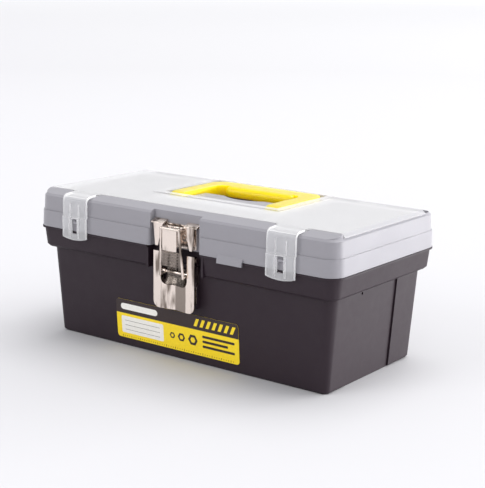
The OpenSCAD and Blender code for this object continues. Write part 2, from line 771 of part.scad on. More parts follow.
module tray_outer() {
    drafted(tray_z, tray_top, tray_in(tray_z), tray_in(tray_top), tray_r(tray_z));
    edge = rim_in(z_ledge) + wall + run_gap;
    translate([0, 0, tray_rim])
        plate(box_len - 2 * edge, box_wid - 2 * edge, outline_r(edge), tray_flange_t);
}

// Two long wells either side of the grip, the front one halved
module tray_wells() {
    inset = tray_in(tray_z) + tray_wall;
    l = box_len - 2 * inset;
    w = hw - inset - tray_wall / 2;
    half_l = (l - tray_wall) / 2;
    z = tray_z + tray_wall;
    translate([0, (w + tray_wall) / 2, z]) plate(l, w, 3, tray_depth + 2 * over + tray_flange_t);
    for (side = [-1, 1]) translate([side * (half_l + tray_wall) / 2, -(w + tray_wall) / 2, z])
        plate(half_l, w, 3, tray_depth + 2 * over + tray_flange_t);
}

module lid_hinge_pin(side) color("silver")
    translate([side * hinge_x, hinge_y, hinge_z]) pin_x(hinge_pin_d, hinge_len);

module cover_hinge_pin(side) color("silver")
    translate([side * cover_hinge_x, cover_hinge_y, cover_hinge_z]) pin_x(cover_pin_d, cover_hinge_len);

// Base plate on the bin, with an ear each side for the lever
module latch_base() color("#cfc8c2") difference() {
    base_t = 1;
    ear_y = lever_pin_y - latch_pin_d / 2 - 0.6;
    union() {
        difference() {
            box([-base_w / 2, pad_y - base_t, lever_bottom + 7], [base_w / 2, pad_y, lever_pin_z - 8]);
            box([-lever_window_w / 2 - 1.8, pad_y - 2 * over, bail_pin_z - 8],
                [lever_window_w / 2 + 1.8, pad_y + over, bin_h]);
        }
        for (side = [-1, 1]) translate([side * (base_w - base_t) / 2, 0, 0]) along_x(base_t) {
            polygon([[pad_y, lever_pin_z - 20], [pad_y, lever_pin_z - 8], [lever_pin_y + 2, lever_pin_z],
                [ear_y, lever_pin_z], [ear_y, lever_pin_z - 16]]);
            translate([lever_pin_y, lever_pin_z]) circle(lever_pin_y - ear_y);
        }
    }
    translate([0, lever_pin_y, lever_pin_z]) pin_x(latch_pin_d + 2 * pin_hold, 2 * lever_w);
    for (side = [-1, 1]) translate([side * rivet_x, pad_y, base_rivet_z]) pin_y(rivet_d + 2 * pin_hold, 4 * base_t);
}

module latch_base_rivets() color("#d8d2cc")
    for (side = [-1, 1]) translate([side * rivet_x, 0, base_rivet_z]) {
        inside = wall_in(base_rivet_z) + wall - hw;
        outside = pad_y - 1;
        translate([0, (inside + outside) / 2, 0]) pin_y(rivet_d, inside - outside + 1.6);
        translate([0, outside - 0.5, 0]) pin_y(2 * rivet_head_r, 1);
        translate([0, inside + 0.8, 0]) pin_y(2 * rivet_head_r, 1);
    }

// Pressed lever: a dished lower panel, two upper wings, side flanges and ears for the bail's pin
module latch_lever() color("#d8cfc8") difference() {
    window = lever_window_w / 2;
    flange_y = lever_pin_y + 3.2;
    ear_z = bail_pin_z - 5;
    union() {
        difference() {
            intersection() {
                translate([0, lever_y, lever_bottom]) linear_extrude(lever_len + lever_top) lever_section();
                along_y(2 * box_wid) lever_face();
            }
            along_y(2 * box_wid) lever_window(window, bail_pin_z - window_drop);
        }
        for (side = [-1, 1]) {
            translate([side * (lever_w - sheet_t) / 2, 0, 0]) along_x(sheet_t) lever_flange(flange_y);
            translate([side * (window + sheet_t / 2), 0, 0]) along_x(sheet_t) polygon([
                [lever_y + sheet_t / 2, ear_z], [lever_y + sheet_t / 2, ear_z + 10],
                [bail_pin_y + 2.4, ear_z + 8], [bail_pin_y + 2.4, ear_z + 2]]);
        }
    }
    translate([0, bail_pin_y, bail_pin_z]) pin_x(latch_pin_d + 2 * pin_hold, lever_w - 4 * sheet_t);
    for (side = [-1, 1]) translate([side * lever_w / 2, lever_pin_y, lever_pin_z])
        pin_x(latch_pin_d + 2 * pin_run, 4 * sheet_t);
}

// Section of the lever's sheet from above: flat sides and a folded hollow in the middle
module lever_section() {
    half = lever_w / 2;
    fold = fold_w / 2;
    front = [[-half, 0], [-fold, 0], [0, fold_d], [fold, 0], [half, 0]];
    back = [for (i = [len(front) - 1 : -1 : 0]) front[i] + [0, sheet_t]];
    polygon(concat(front, back));
}

// Outline of the lever from the front, with round lower corners
module lever_face() {
    r = 6;
    half = lever_w / 2;
    translate([-half, lever_bottom + r]) square([lever_w, lever_len + lever_top - r]);
    translate([r - half, lever_bottom]) square([lever_w - 2 * r, r + over]);
    for (side = [-1, 1]) translate([side * (half - r), lever_bottom + r]) circle(r);
}

// Gap for the bail, round at its foot
module lever_window(half, foot) {
    r = 6;
    translate([-half, foot + r]) square([2 * half, lever_len]);
    translate([r - half, foot]) square([2 * (half - r), r + over]);
    for (side = [-1, 1]) translate([side * (half - r), foot + r]) circle(r);
}

module lever_flange(back) {
    foot = lever_pin_z - flange_len;
    polygon([[lever_y, foot], [lever_y, lever_pin_z + lever_top], [lever_pin_y, lever_pin_z + lever_top],
        [back, lever_pin_z], [back, foot + 4], [lever_y + 2.4, foot]]);
}

module lever_pivots() color("#d8d2cc") {
    inner = base_w / 2 - 1.2;
    outer = lever_w / 2 + 0.1;
    for (side = [-1, 1]) translate([0, lever_pin_y, lever_pin_z]) {
        translate([side * (inner + outer) / 2, 0, 0]) pin_x(latch_pin_d, outer - inner);
        translate([side * (outer + 0.4), 0, 0]) pin_x(latch_pin_d + 2, 0.8);
    }
}

// Bail: two round rails that hook back over the top and down to the pin, a plain tongue between
// them at the top and a ribbed plate below it
module latch_bail() color("#e6dfd8") difference() {
    hook_y = recess_y - sheet_t - run_gap - rail_d / 2;
    top = [bail_top_w / 2, bail_y + rail_d / 2, bail_top];
    foot = [bail_w / 2, bail_y + 3.4, bail_pin_z - 2];
    rib_top = bail_top - tongue_plate_h - 1;
    mid_y = foot[1] + (top[1] - foot[1]) * (rib_top - ribbed_h / 2 - foot[2]) / (top[2] - foot[2]);
    union() {
        for (side = [-1, 1]) {
            rod([side * top[0], top[1], top[2]], [side * foot[0], foot[1], foot[2]]);
            rod([side * foot[0], foot[1], foot[2]], [side * foot[0], bail_pin_y, bail_pin_z]);
            rod([side * top[0], top[1], top[2]], [side * top[0], hook_y, top[2]]);
            translate([side * foot[0], bail_pin_y, bail_pin_z]) pin_x(2 * rail_d, rail_d + 0.2);
            for (corner = [top, foot, [top[0], hook_y, top[2]]])
                translate([side * corner[0], corner[1], corner[2]]) sphere(d = rail_d + 0.2);
        }
        rod([-top[0], hook_y, top[2]], [top[0], hook_y, top[2]]);
        rod([-top[0], top[1], top[2]], [top[0], top[1], top[2]]);
        box([1.8 - top[0], bail_y + 0.4, top[2] - tongue_plate_h], [top[0] - 1.8, bail_y + 0.4 + sheet_t, top[2]]);
        box([-top[0] - 1, mid_y - sheet_t / 2, rib_top - ribbed_h], [top[0] + 1, mid_y + sheet_t / 2, rib_top]);
        for (i = [0 : 4]) translate([0, mid_y - sheet_t / 2, rib_top - ribbed_h * (i + 0.5) / 5])
            pin_x(1.2, bail_top_w - 4);
    }
    translate([0, bail_pin_y, bail_pin_z]) pin_x(latch_pin_d + 2 * pin_run, 2 * bail_w);
}

// Round rod between two points
module rod(from, to) {
    v = to - from;
    len = norm(v);
    translate(from) rotate([0, acos(v[2] / len), atan2(v[1], v[0])]) cylinder(h = len, d = rail_d);
}

module bail_pin() color("#e6dfd8")
    translate([0, bail_pin_y, bail_pin_z]) pin_x(latch_pin_d, lever_window_w + 2 * sheet_t);

// Keeper on the lid: back plate with a rib for the bail, and two sloped lips with hanging wings
module latch_keeper() color("#d8cfc8") difference() {
    lip_y = lever_y - 0.3;
    gap = (bail_top_w + rail_d) / 2 + run_gap;
    half = keeper_w / 2;
    z_foot = z_lid + 1.2;
    z_root = lip_z + lip_rise;
    rib_out = 1.2;
    union() {
        box([-half, recess_y - sheet_t, z_foot], [half, recess_y, lip_z + sheet_t]);
        box([-gap, recess_y - sheet_t - rib_out, lip_z], [gap, recess_y, lip_z + sheet_t]);
        for (side = [-1, 1]) {
            translate([side * (gap + keeper_lip_w / 2) / 2, 0, 0]) along_x(keeper_lip_w / 2 - gap) polygon([
                [lip_y, lip_z], [recess_y - sheet_t, z_root], [recess_y - sheet_t, lip_z], [recess_y, lip_z],
                [recess_y, z_root + sheet_t], [recess_y - sheet_t, z_root + sheet_t], [lip_y, lip_z + sheet_t]]);
            translate([0, lip_y + sheet_t / 2, 0]) along_y(sheet_t) polygon([
                [side * (gap + run_gap), lip_z + sheet_t / 2], [side * (half + 2), lip_z + sheet_t / 2],
                [side * half, z_foot], [side * (half - wing_foot_w), z_foot]]);
        }
    }
    for (side = [-1, 1]) translate([side * rivet_x, recess_y, keeper_rivet_z]) pin_y(rivet_d + 2 * pin_hold, 4 * sheet_t);
}

module keeper_rivets() color("#d8d2cc")
    for (side = [-1, 1]) translate([side * rivet_x, recess_y - sheet_t, keeper_rivet_z]) {
        length = sheet_t + 2 * wall - run_gap;
        translate([0, length / 2, 0]) pin_y(rivet_d, length);
        translate([0, -0.5, 0]) pin_y(2 * rivet_head_r, 1);
    }

bin();
front_label();
lid();
organiser_cover();
carry_handle();
handle_pin(-1);  // handle_pin_left
handle_pin(1);  // handle_pin_right
tool_tray();
lid_hinge_pin(-1);  // lid_hinge_pin_left
lid_hinge_pin(1);  // lid_hinge_pin_right
cover_hinge_pin(-1);  // cover_hinge_pin_left
cover_hinge_pin(1);  // cover_hinge_pin_right
latch_base();
latch_base_rivets();
latch_lever();
lever_pivots();
latch_bail();
bail_pin();
latch_keeper();
keeper_rivets();
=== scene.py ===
import math

import bmesh
import bpy
from mathutils import Matrix, Vector


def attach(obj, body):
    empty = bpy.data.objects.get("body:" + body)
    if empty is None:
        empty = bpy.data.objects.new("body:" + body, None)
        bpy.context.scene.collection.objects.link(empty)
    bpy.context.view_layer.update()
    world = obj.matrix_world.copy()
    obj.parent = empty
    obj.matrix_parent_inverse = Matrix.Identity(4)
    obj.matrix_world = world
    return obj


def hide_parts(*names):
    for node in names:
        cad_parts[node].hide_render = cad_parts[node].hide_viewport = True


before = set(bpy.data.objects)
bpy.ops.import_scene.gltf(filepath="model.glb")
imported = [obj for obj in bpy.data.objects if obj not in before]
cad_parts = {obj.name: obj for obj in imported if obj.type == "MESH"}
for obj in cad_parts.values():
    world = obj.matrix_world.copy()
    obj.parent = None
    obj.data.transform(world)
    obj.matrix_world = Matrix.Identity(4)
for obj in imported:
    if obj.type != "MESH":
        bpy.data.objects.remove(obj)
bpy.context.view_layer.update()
mm = 0.001
print("frame loaded")


def linear(hexColour):
    # sRGB hex to the linear values that the shaders take
    parts = [int(hexColour[i : i + 2], 16) / 255 for i in (1, 3, 5)]
    return [c / 12.92 if c <= 0.04045 else ((c + 0.055) / 1.055) ** 2.4 for c in parts] + [1.0]


def addNode(tree, kind, links=(), inputs=(), **settings):
    # one node, its settings, its fixed inputs and what feeds it
    node = tree.nodes.new(kind)
    for name, value in settings.items():
        setattr(node, name, value)
    for name, value in dict(inputs).items():
        node.inputs[name].default_value = value
    for name, source in dict(links).items():
        tree.links.new(source, node.inputs[name])
    return node


def ramp(toLow, toHigh, fromLow=0.3, fromHigh=0.7):
    # fixed inputs of a Map Range node; without the last two it stretches the usual range of a noise
    return {"From Min": fromLow, "From Max": fromHigh, "To Min": toLow, "To Max": toHigh}


def perMm(size):
    # scale of a pattern whose features have this size in millimetres
    return 1 / (size * mm)


def newMaterial(name):
    material = bpy.data.materials.new(name)
    material.use_nodes = True
    material.node_tree.nodes.clear()
    place = addNode(material.node_tree, "ShaderNodeTexCoord").outputs["Object"]
    return material, material.node_tree, place


def closeMaterial(tree, links, inputs):
    shader = addNode(tree, "ShaderNodeBsdfPrincipled", links, inputs)
    addNode(tree, "ShaderNodeOutputMaterial", {"Surface": shader.outputs[0]})


# Moulded polypropylene: an even colour, a fine eroded grain and a soft wide highlight
mouldedPlastic = {
    "grainMm": 0.9,  # real grain is nearer 0.2 mm, drawn coarser so that it shows
    "grainDepth": 0.00004,
    "grainStrength": 0.35,
    "cloudMm": 70,  # slow drift of the colour over the moulding
    "cloudShare": 0.25,
    "scuffMm": 14,
    "scuffShare": 0.35,
    "scuffFrom": (0.56, 0.8),  # only the peaks of the noise are scuffs
    "roughSpread": (-0.05, 0.07),
    "ior": 1.49,
}

# The handle's polypropylene lets light through and is lightly polished; its upper faces get a paler colour, a
# painted sheen
handlePlasticPaintedSheen = {
    # painted sheen: this colour is mixed onto the upward faces in place of the reflection that they catch
    "paintedSheen": "#b09468",
    "paintedSheenShare": 0.3,
    "upwardFrom": (0.8, 0.98),
    "inputs": {"Coat Weight": 0.1, "Coat IOR": 1.6, "Coat Roughness": 0.16, "Subsurface Weight": 1.0,
               "Subsurface Radius": (1.0, 0.85, 0.2), "Subsurface Scale": 0.025},
}


def polypropylene(name, colour, worn, rough, gloss, grain=1.0, handleLook=None):
    material, tree, place = newMaterial(name)
    look = mouldedPlastic
    cloud = addNode(tree, "ShaderNodeTexNoise", {"Vector": place},
                    {"Scale": perMm(look["cloudMm"]), "Detail": 3}).outputs["Fac"]
    scuff = addNode(tree, "ShaderNodeTexNoise", {"Vector": place},
                    {"Scale": perMm(look["scuffMm"]), "Detail": 8, "Roughness": 0.7}).outputs["Fac"]
    marks = addNode(tree, "ShaderNodeMapRange", {"Value": scuff},
                    ramp(0, look["scuffShare"], *look["scuffFrom"]))
    drift = addNode(tree, "ShaderNodeMapRange", {"Value": cloud}, ramp(0, look["cloudShare"]))
    both = addNode(tree, "ShaderNodeMath", {0: marks.outputs[0], 1: drift.outputs[0]}, operation="ADD")
    pits = addNode(tree, "ShaderNodeTexVoronoi", {"Vector": place}, {"Scale": perMm(look["grainMm"])},
                   feature="SMOOTH_F1")
    bump = addNode(tree, "ShaderNodeBump", {"Height": pits.outputs["Distance"]},
                   {"Strength": look["grainStrength"] * grain, "Distance": look["grainDepth"]})
    paint = addNode(tree, "ShaderNodeMix", {"Factor": both.outputs[0]},
                    {"A": linear(colour), "B": linear(worn)}, data_type="RGBA")
    # painted sheen on the upper faces, chosen by how far each faces upward
    if handleLook:
        normal = addNode(tree, "ShaderNodeTexCoord").outputs["Normal"]
        height = addNode(tree, "ShaderNodeSeparateXYZ", {0: normal}).outputs["Z"]
        upward = addNode(tree, "ShaderNodeMapRange", {"Value": height},
                         ramp(0, handleLook["paintedSheenShare"], *handleLook["upwardFrom"]))
        paint = addNode(tree, "ShaderNodeMix", {"Factor": upward.outputs[0], "A": paint.outputs["Result"]},
                        {"B": linear(handleLook["paintedSheen"])}, data_type="RGBA")
    lowRough, highRough = (rough + change for change in look["roughSpread"])
    roughness = addNode(tree, "ShaderNodeMapRange", {"Value": scuff}, ramp(lowRough, highRough))
    inputs = {"IOR": look["ior"], "Specular IOR Level": gloss}
    inputs.update(handleLook["inputs"] if handleLook else {})
    closeMaterial(tree, {"Base Color": paint.outputs["Result"], "Normal": bump.outputs[0],
                         "Roughness": roughness.outputs[0]}, inputs)
    return material


# name, colour, colour where worn, roughness, gloss and share of the grain
charcoal = polypropylene("charcoalPolypropylene", "#22131e", "#2a1c26", 0.58, 0.42)
greyPlastic = polypropylene("greyPolypropylene", "#929096", "#9b999f", 0.36, 0.5)
yellowPlastic = polypropylene("yellowPolypropylene", "#f4cd00", "#f6d42c", 0.36, 0.3, 0.4, handlePlasticPaintedSheen)
trayPlastic = polypropylene("trayPolypropylene", "#7d7b84", "#8b8992", 0.48, 0.4)

# Clear polypropylene, a little milky: see-through and satin, with faint flow marks; its whiter edges are a
# painted highlight
clearMoulding = {
    "flowMm": 60,
    "flowDepth": 0.0005,
    "flowStrength": 0.1,
    "rough": (0.12, 0.2),
    "facingFrom": (0.25, 0.8),  # how far a face turns from the eye while it grows milkier
    "inputs": {"IOR": 1.49, "Specular IOR Level": 0.25},
}


def clearSheet(name, tint, faceOn, grazing):
    material, tree, place = newMaterial(name)
    look = clearMoulding
    flow = addNode(tree, "ShaderNodeTexNoise", {"Vector": place},
                   {"Scale": perMm(look["flowMm"]), "Detail": 2}).outputs["Fac"]
    bump = addNode(tree, "ShaderNodeBump", {"Height": flow},
                   {"Strength": look["flowStrength"], "Distance": look["flowDepth"]})
    facing = addNode(tree, "ShaderNodeLayerWeight", (), {"Blend": 0.5}).outputs["Facing"]
    roughness = addNode(tree, "ShaderNodeMapRange", {"Value": flow}, ramp(*look["rough"]))
    milk = addNode(tree, "ShaderNodeMapRange", {"Value": facing}, ramp(faceOn, grazing, *look["facingFrom"]))
    closeMaterial(tree, {"Roughness": roughness.outputs[0], "Normal": bump.outputs[0],
                         "Alpha": milk.outputs[0]},
                  {"Base Color": linear(tint), **look["inputs"]})
    return material


# name, tint, and how milky it is face on and at a grazing angle
clearPlastic = clearSheet("clearPolypropylene", "#e6e5e6", 0.3, 0.52)
# painted highlight: a white, nearly opaque copy for the cover's rounded edges and the clips' narrow sides
clearEdgeHighlight = clearSheet("clearPolypropyleneEdgeHighlight", "#ffffff", 0.9, 0.96)
# painted shade: a darker copy for the cover's end slopes
clearSlopeShaded = clearSheet("clearPolypropyleneSlopeShaded", "#cbcacd", 0.44, 0.54)
# painted light: a clearer, paler copy for the clips' front faces
clearTongue = clearSheet("clearPolypropyleneTongue", "#f2f2f4", 0.28, 0.5)

# Nickel plating on pressed steel: a warm mirror, with painted dark reflections in streaks and painted shade
# on its left-hand slopes
plating = {
    "rubMm": 3,
    "roughSpread": (-0.05, 0.08),
    "pressMm": 9,  # slow waves that the press leaves
    "pressStrength": 0.5,
    "streakMm": 6,
    "streakStretch": (1, 1, 0.2),
    "streakShare": 0.8,
    "streakFrom": (0.48, 0.64),
    "slopeFrom": (-0.2, -0.06),
}


def platedSteel(name, bright, paintedDark, rough, wave, slopeShadeShare):
    material, tree, place = newMaterial(name)
    look = plating
    rub = addNode(tree, "ShaderNodeTexNoise", {"Vector": place}, {"Scale": perMm(look["rubMm"]), "Detail": 6})
    press = addNode(tree, "ShaderNodeTexNoise", {"Vector": place},
                    {"Scale": perMm(look["pressMm"]), "Detail": 1})
    bump = addNode(tree, "ShaderNodeBump", {"Height": press.outputs["Fac"]},
                   {"Strength": look["pressStrength"], "Distance": wave})
    # painted dark reflections: stretched noise streaks mix in the dark colour
    drawn = addNode(tree, "ShaderNodeMapping", {"Vector": place}, {"Scale": look["streakStretch"]})
    streak = addNode(tree, "ShaderNodeTexNoise", {"Vector": drawn.outputs[0]},
                     {"Scale": perMm(look["streakMm"]), "Detail": 3})
    darkReflectionStreaks = addNode(tree, "ShaderNodeMapRange", {"Value": streak.outputs["Fac"]},
                      ramp(0, look["streakShare"], *look["streakFrom"]))
    # painted shade: faces turned to the left take the dark colour
    facing = addNode(tree, "ShaderNodeNewGeometry").outputs["Normal"]
    sideways = addNode(tree, "ShaderNodeSeparateXYZ", {0: facing}).outputs["X"]
    shadedSlopes = addNode(tree, "ShaderNodeMapRange", {"Value": sideways}, ramp(slopeShadeShare, 0, *look["slopeFrom"]))
    both = addNode(tree, "ShaderNodeMath", {0: darkReflectionStreaks.outputs[0], 1: shadedSlopes.outputs[0]}, operation="MAXIMUM")
    metal = addNode(tree, "ShaderNodeMix", {"Factor": both.outputs[0]},
                    {"A": linear(bright), "B": linear(paintedDark)}, data_type="RGBA")
    lowRough, highRough = (rough + change for change in look["roughSpread"])
    roughness = addNode(tree, "ShaderNodeMapRange", {"Value": rub.outputs["Fac"]}, ramp(lowRough, highRough))
    closeMaterial(tree, {"Base Color": metal.outputs["Result"], "Roughness": roughness.outputs[0],
                         "Normal": bump.outputs[0]}, {"Metallic": 1.0})
    return material


# name, bright colour, dark colour of the painted reflections and shade, roughness, height of the waves in
# metres and share of painted shade on the slopes
nickel = platedSteel("nickelPlatedSteel", "#efe2d8", "#4f4033", 0.17, 0.0006, 0.8)
# a darker copy of the nickel; on the lever's dished web it is a painted dark reflection
darkerNickel = platedSteel("darkerNickel", "#8d837c", "#4a423d", 0.24, 0.0004, 0.5)
drawnSteel = platedSteel("drawnSteel", "#b9b7b4", "#8f8b87", 0.28, 0.0001, 0)

# Printed film: flat ink under a satin laminate
printing = {
    "fibreMm": 2.5,
    "fibreTint": "#f2f0ec",
    "fibreShare": 0.5,
    "fibreDepth": 0.0001,
    "fibreStrength": 0.1,
    "rough": (0.32, 0.45),
    "ior": 1.5,
}


def printedFilm(name, colour):
    material, tree, place = newMaterial(name)
    look = printing
    fibre = addNode(tree, "ShaderNodeTexNoise", {"Vector": place},
                    {"Scale": perMm(look["fibreMm"]), "Detail": 5}).outputs["Fac"]
    thin = addNode(tree, "ShaderNodeMapRange", {"Value": fibre}, ramp(0, look["fibreShare"]))
    ink = addNode(tree, "ShaderNodeMix", {"Factor": thin.outputs[0]},
                  {"A": linear(colour), "B": linear(look["fibreTint"])},
                  data_type="RGBA", blend_type="MULTIPLY")
    bump = addNode(tree, "ShaderNodeBump", {"Height": fibre},
                   {"Strength": look["fibreStrength"], "Distance": look["fibreDepth"]})
    roughness = addNode(tree, "ShaderNodeMapRange", {"Value": fibre}, ramp(*look["rough"]))
    closeMaterial(tree, {"Base Color": ink.outputs["Result"], "Normal": bump.outputs[0],
                         "Roughness": roughness.outputs[0]}, {"IOR": look["ior"]})
    return material


labelYellow = printedFilm("yellowFilm", "#ffdf1c")
labelDark = printedFilm("darkFilm", "#2f201f")
labelWhite = printedFilm("whiteFilm", "#f6f4ee")
labelGrey = printedFilm("greyFilm", "#8d8a86")
print("materials made")


def settle(piece):
    # modifiers become plain mesh
    graph = bpy.context.evaluated_depsgraph_get()
    mesh = bpy.data.meshes.new_from_object(piece.evaluated_get(graph))
    piece.modifiers.clear()
    piece.data = mesh


# Edges of the CAD solids, as moulding or pressing leaves them: millimetres and degrees
rounding = {"merge": 0.01, "flatWithin": 1, "smoothWithin": 35, "bevelFrom": 25, "segments": 3}


def roundedCopy(node, body, material, width, edgeMaterial=None):
    # a copy of a CAD solid with its sharp edges rounded
    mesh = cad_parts[node].data.copy()
    piece = bpy.data.objects.new(node + "Finished", mesh)
    bpy.context.collection.objects.link(piece)
    bm = bmesh.new()
    bm.from_mesh(mesh)
    bmesh.ops.remove_doubles(bm, verts=bm.verts, dist=rounding["merge"] * mm)
    flat = math.radians(rounding["flatWithin"])
    bmesh.ops.dissolve_limit(bm, angle_limit=flat, verts=bm.verts, edges=bm.edges)
    bm.to_mesh(mesh)
    bm.free()
    mesh.materials.clear()
    for each in filter(None, (material, edgeMaterial)):
        mesh.materials.append(each)
    for polygon in mesh.polygons:
        polygon.use_smooth = True
        polygon.material_index = 0
    mesh.set_sharp_from_angle(angle=math.radians(rounding["smoothWithin"]))
    bevel = piece.modifiers.new("edges", "BEVEL")
    bevel.width = width * mm
    bevel.segments = rounding["segments"]
    bevel.limit_method = "ANGLE"
    bevel.angle_limit = math.radians(rounding["bevelFrom"])
    bevel.material = 1 if edgeMaterial else -1
    weighted = piece.modifiers.new("flats", "WEIGHTED_NORMAL")  # broad flats stay flat beside the rounding
    weighted.keep_sharp = True
    settle(piece)
    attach(piece, body)
    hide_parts(node)
    return piece


# CAD piece: body that it moves with, material, width of its rounded edges in millimetres and their material
finishes = {
    "bin": ("bin", charcoal, 0.5),
    "lid": ("lid", greyPlastic, 0.5),
    "organiser_cover": ("cover", clearPlastic, 0.4, clearEdgeHighlight),
    "carry_handle": ("handle", yellowPlastic, 1.6),
    "tool_tray": ("tray", trayPlastic, 0.4),
    "latch_base": ("bin", nickel, 0.2),
    "latch_lever": ("lever", nickel, 0.35),
    "latch_bail": ("bail", nickel, 0.4),
    "latch_keeper": ("lid", nickel, 0.35),
}
finished = {node: roundedCopy(node, *held) for node, held in finishes.items()}

# The cover's end slopes take a darker copy, painted shade, its clip tongues a clearer and paler one, painted
# light, and their narrow sides a white one, a painted highlight.
# Places are millimetres to the sides and to the front, and the others are parts of a face's normal.
coverZones = {"slopeFrom": 130, "slopeLean": 0.2, "tongueFrom": -79, "tongueUpright": 0.5, "tongueFront": 0.5}
coverMesh = finished["organiser_cover"].data
highlightEdgeIndex, shadedSlopeIndex, tongueIndex = 1, 2, 3
coverMesh.materials.append(clearSlopeShaded)
coverMesh.materials.append(clearTongue)
for polygon in coverMesh.polygons:
    if polygon.center.y < coverZones["tongueFrom"] * mm:
        if polygon.material_index == 0 and polygon.normal.z < coverZones["tongueUpright"]:
            # front faces take the paler copy, painted light; narrow sides the white copy, a painted highlight
            toFront = abs(polygon.normal.y) > coverZones["tongueFront"]
            polygon.material_index = tongueIndex if toFront else highlightEdgeIndex
    elif (abs(polygon.normal.x) > coverZones["slopeLean"]
          and abs(polygon.center.x) > coverZones["slopeFrom"] * mm):
        polygon.material_index = shadedSlopeIndex

# The ribbed grip plate of the bail is drawn in a darker nickel: its place in millimetres at rest
ribbedPlate = {"low": 84.5, "high": 98.2, "halfWidth": 9.2}
bailMesh = finished["latch_bail"].data
bailMesh.materials.append(darkerNickel)
for polygon in bailMesh.polygons:
    x, y, z = polygon.center / mm
    if ribbedPlate["low"] < z < ribbedPlate["high"] and abs(x) < ribbedPlate["halfWidth"]:
        polygon.material_index = 1
print("solids finished")

# Dished web pressed into the lever's window, below the bail pin: millimetres at rest
dish = {
    "halfWidth": 10.3,
    "low": 66.6,
    "turn": 76.5,  # height where it has reached its full depth
    "high": 83,
    "front": -79.6,
    "deep": -75.1,
    "foldHalfWidth": 13,  # the lever's middle fold, which the web's foot follows
    "foldDepth": 2.4,
    "lip": 1.2,
    "thick": 0.4,
    "steps": 24,
}


def makeDish():
    mesh = bpy.data.meshes.new("leverDish")
    # painted dark reflection of the hollow
    mesh.materials.append(darkerNickel)
    bm = bmesh.new()
    steps = dish["steps"]
    rows = []
    for j in range(steps + 1):
        z = dish["low"] + (dish["high"] - dish["low"]) * j / steps
        share = min(1, (z - dish["low"]) / (dish["turn"] - dish["low"]))
        inward = share * share * (3 - 2 * share)
        row = []
        for i in range(steps + 1):
            across = 2 * i / steps - 1
            x = across * dish["halfWidth"]
            start = dish["front"] + dish["foldDepth"] * max(0, 1 - abs(x) / dish["foldHalfWidth"])
            y = start + (dish["deep"] - start) * inward - dish["lip"] * inward * across**6
            row.append(bm.verts.new((x * mm, y * mm, z * mm)))
        rows.append(row)
    for low, high in zip(rows, rows[1:]):
        for i in range(steps):
            bm.faces.new((low[i], low[i + 1], high[i + 1], high[i])).smooth = True
    bmesh.ops.solidify(bm, geom=bm.faces[:], thickness=-dish["thick"] * mm)
    bmesh.ops.recalc_face_normals(bm, faces=bm.faces)
    bm.to_mesh(mesh)
    bm.free()
    piece = bpy.data.objects.new("leverDish", mesh)
    bpy.context.collection.objects.link(piece)
    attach(piece, "lever")


makeDish()

# Sticker on the front wall: millimetres along the wall, u to the right of its middle, v above its lower edge
label = {
    "middle": -7,
    "wallFootY": -66.5,
    "lean": math.atan(6 / 80),  # the wall leans out by 6 mm over 80 mm
    "low": 8,
    "wide": 135,
    "high": 35.5,
    "corner": 3,
    "film": 0.3,
    "ink": 0.05,
    "sunk": 0.02,  # overlap of one layer with the next
    "band": 12.8,
}

# Plain motifs of the sticker, in the same millimetres; those of the dark band count v from its lower edge
motifs = {
    "slants": {"count": 7, "from": 20, "pitch": 6.4, "wide": 3.2, "slant": 3, "low": 3, "high": 9.8},
    "plate": {"box": (-62, 3.6, -20, 9.2), "corner": 2.8},
    "panel": {"box": (-62, 4.6, -14, 20.2), "corner": 1.5},
    "lines": {"count": 3, "from": -58, "to": -18, "low": 7.6, "pitch": 4.2, "thick": 0.4},
    "nuts": {"v": 12.6, "places": ((-4, 3), (6, 4), (18.5, 5.2)), "hole": 0.52},
    "bars": {"from": 29, "wide": (34, 27, 34), "low": 16.6, "pitch": 4.4, "thick": 2.2, "corner": 0.8},
}


def onWall(u, v, out):
    # a place on the label to a place in the box's frame, in metres
    along = label["low"] + v
    y = label["wallFootY"] - along * math.sin(label["lean"]) - out * math.cos(label["lean"])
    z = along * math.cos(label["lean"]) - out * math.sin(label["lean"])
    return Vector(((label["middle"] + u) * mm, y * mm, z * mm))


def roundedOutline(u0, v0, u1, v1, corners, steps=6):
    # corners are the radii at lower left, lower right, upper right and upper left
    points = []
    for (cu, cv, start), r in zip(((u0, v0, 180), (u1, v0, 270), (u1, v1, 0), (u0, v1, 90)), corners):
        mu = cu + (r if cu == u0 else -r)
        mv = cv + (r if cv == v0 else -r)
        count = steps if r else 0
        for i in range(count + 1):
            turn = math.radians(start + 90 * i / max(count, 1))
            points.append((mu + r * math.cos(turn), mv + r * math.sin(turn)))
    return points


def nutHalves(u, v, outer, inner):
    # a hexagon nut from above, as two halves so that each is a simple outline
    spots = [[(u + r * math.cos(math.pi * i / 3), v + r * math.sin(math.pi * i / 3)) for i in range(7)]
             for r in (outer, inner)]
    return [spots[0][a : a + 4] + spots[1][a : a + 4][::-1] for a in (0, 3)]


def film(bm, outline, low, high, index):
    # one flat layer of the sticker, with its own thickness
    base = [bm.verts.new(onWall(u, v, low)) for u, v in outline]
    top = [bm.verts.new(onWall(u, v, high)) for u, v in outline]
    sides = [bm.faces.new((base[i - 1], base[i], top[i], top[i - 1])) for i in range(len(base))]
    for face in sides + [bm.faces.new(top), bm.faces.new(base[::-1])]:
        face.material_index = index


